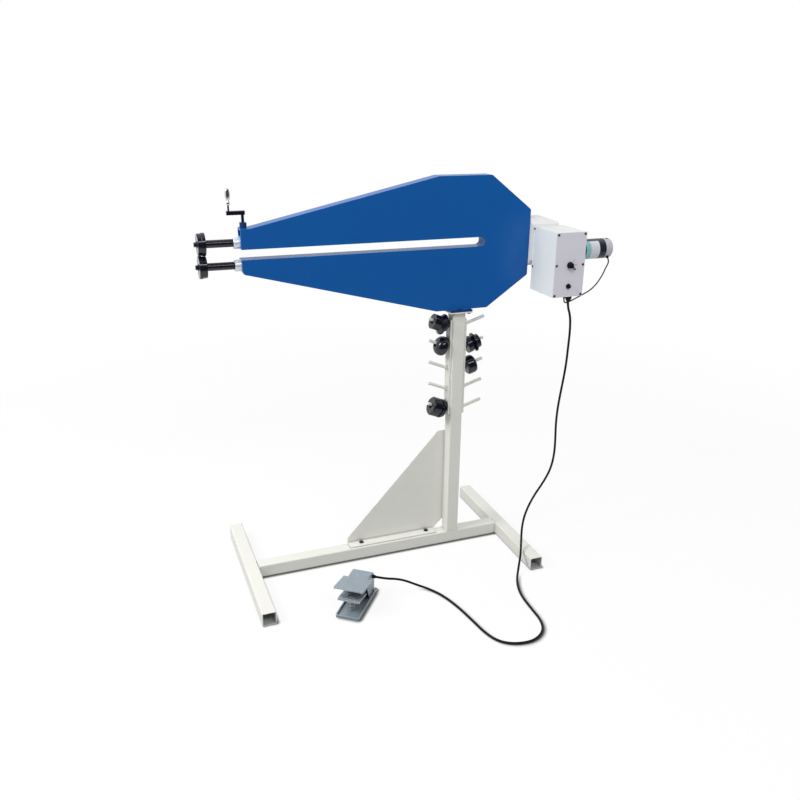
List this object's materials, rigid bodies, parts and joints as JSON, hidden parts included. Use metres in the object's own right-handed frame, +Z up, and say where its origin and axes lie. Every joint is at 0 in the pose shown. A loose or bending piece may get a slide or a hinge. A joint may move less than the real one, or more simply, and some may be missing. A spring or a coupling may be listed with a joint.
{
  "type": "electric bead roller",
  "caption": "Motor-driven bead roller on a floor stand: deep-throat plate frame, geared roll shafts with step dies, pressure crank, control box, die pegs and a foot pedal on a cord.",
  "frame": {"origin": "On the floor under the base beam, on the column's axis", "axes": "+X along the machine from the dies to the motor, +Y away from the control panel's front, +Z up"},
  "size_m": [1.594, 1.059, 1.474],
  "materials": {
    "stand_paint": "gloss cream powder coat",
    "frame_paint": "gloss blue paint",
    "collar_paint": "dark blue paint",
    "box_paint": "light grey powder coat",
    "case_paint": "pale grey paint",
    "motor_paint": "satin charcoal paint",
    "motor_cap_paint": "satin light grey paint",
    "pedal_paint": "hammered blue-grey paint",
    "black_steel": "polished black oxide",
    "bright_steel": "ground bright steel",
    "zinc": "bright zinc plate",
    "chrome": "polished chrome",
    "black_plastic": "moulded black plastic",
    "board_plastic": "green circuit board",
    "cord_rubber": "black cord sheath"
  },
  "bodies": {
    "stand": {"front_foot_tube": "stand_paint", "rear_foot_tube": "stand_paint", "base_beam": "stand_paint", "column": "stand_paint", "column_flange": "stand_paint", "gusset_plate": "stand_paint", "peg_racks": "stand_paint", "foot_plate": "frame_paint", "front_side_plate": "frame_paint", "rear_side_plate": "frame_paint", "outer_band": "frame_paint", "slot_liner": "frame_paint", "screw_collar": "collar_paint", "control_box": "box_paint", "control_panel": "box_paint", "gear_case": "case_paint", "bearing_bridge": "case_paint", "gearhead": "case_paint", "motor_body": "motor_paint", "motor_end_cap": "motor_cap_paint", "frame_bolts": "black_steel", "panel_screws": "black_steel", "lower_bearing_block": "bright_steel", "lower_front_bush": "zinc", "rear_bearings": "bright_steel", "selector_switch": "black_plastic", "fuse_holder": "black_plastic", "control_board": "board_plastic", "cable_glands": "black_plastic", "pedal_cord": "cord_rubber", "motor_lead": "cord_rubber", "pedal_base": "pedal_paint", "pedal_hood": "pedal_paint", "pedal_pin": "bright_steel", "pedal_spring": "bright_steel", "pedal_switch": "black_plastic"},
    "lower_roll": {"lower_shaft": "black_steel", "lower_die": "black_steel", "lower_die_bolt": "black_steel", "lower_gear": "bright_steel"},
    "upper_bearing": {"upper_bearing_block": "bright_steel", "upper_front_bush": "zinc"},
    "upper_roll": {"upper_shaft": "black_steel", "upper_die": "black_steel", "upper_die_bolt": "black_steel", "upper_gear": "bright_steel"},
    "pad": {"thrust_pad": "bright_steel"},
    "crank": {"pressure_screw": "black_steel", "crank_arm": "black_steel"},
    "grip": {"crank_grip": "chrome"},
    "selector": {"selector_knob": "black_plastic"},
    "fuse": {"fuse_cap": "black_plastic"},
    "treadle": {"pedal_treadle": "pedal_paint"},
    "bead_die": {"bead_die": "black_steel"},
    "round_die": {"round_die": "black_steel"},
    "groove_die": {"groove_die": "black_steel"},
    "flange_die": {"flange_die": "black_steel"},
    "crown_die": {"crown_die": "black_steel"}
  },
  "joints": [
    {"name": "lower_roll_spin", "type": "hinge", "parent": "stand", "child": "lower_roll", "pos_m": [0, 0, 1.2005], "axis": [1, 0, 0], "continuous": true},
    {"name": "upper_bearing_rock", "type": "hinge", "parent": "stand", "child": "upper_bearing", "pos_m": [0.355, 0, 1.2755], "axis": [0, 1, 0], "range_deg": [0, 0.61]},
    {"name": "upper_roll_spin", "type": "hinge", "parent": "upper_bearing", "child": "upper_roll", "pos_m": [0, 0, 1.2755], "axis": [1, 0, 0], "continuous": true},
    {"name": "pad_slide", "type": "slide", "parent": "stand", "child": "pad", "axis": [0, 0, 1], "range_m": [0, 0.012]},
    {"name": "crank_turn", "type": "hinge", "parent": "pad", "child": "crank", "pos_m": [-0.7845, 0, 1.366], "axis": [0, 0, 1], "range_deg": [0, 2160]},
    {"name": "grip_spin", "type": "hinge", "parent": "crank", "child": "grip", "pos_m": [-0.829, 0, 1.42], "axis": [0, 0, 1], "continuous": true},
    {"name": "selector_turn", "type": "hinge", "parent": "stand", "child": "selector", "pos_m": [0.3435, -0.208, 1.1695], "axis": [0, -1, 0], "range_deg": [0, 90]},
    {"name": "fuse_cap_turn", "type": "hinge", "parent": "stand", "child": "fuse", "pos_m": [0.3435, -0.208, 1.0925], "axis": [0, -1, 0], "range_deg": [0, 90]},
    {"name": "treadle_press", "type": "hinge", "parent": "stand", "child": "treadle", "pos_m": [-0.46993, -0.26358, 0.046], "axis": [0.7902, -0.6129, 0], "range_deg": [0, 10], "stiffness_Nm_per_rad": 6, "springref_deg": -14.32, "deforming": ["pedal_spring"]},
    {"name": "bead_die_slide", "type": "slide", "parent": "stand", "child": "bead_die", "axis": [-0.9272, 0, 0.3746], "range_m": [0, 0.05]},
    {"name": "round_die_slide", "type": "slide", "parent": "stand", "child": "round_die", "axis": [-0.9272, 0, 0.3746], "range_m": [0, 0.085]},
    {"name": "groove_die_slide", "type": "slide", "parent": "stand", "child": "groove_die", "axis": [-0.9272, 0, 0.3746], "range_m": [0, 0.085]},
    {"name": "flange_die_slide", "type": "slide", "parent": "stand", "child": "flange_die", "axis": [0.9563, 0, 0.2924], "range_m": [0, 0.085]},
    {"name": "crown_die_slide", "type": "slide", "parent": "stand", "child": "crown_die", "axis": [0.9563, 0, 0.2924], "range_m": [0, 0.085]}
  ],
  "couplings": [
    {"joint": "upper_roll_spin", "follows": "lower_roll_spin", "ratio": -1},
    {"joint": "crank_turn", "follows": "pad_slide", "rad_per_m": 3141.6},
    {"joint": "upper_bearing_rock", "follows": "pad_slide", "rad_per_m": 0.87759}
  ]
}
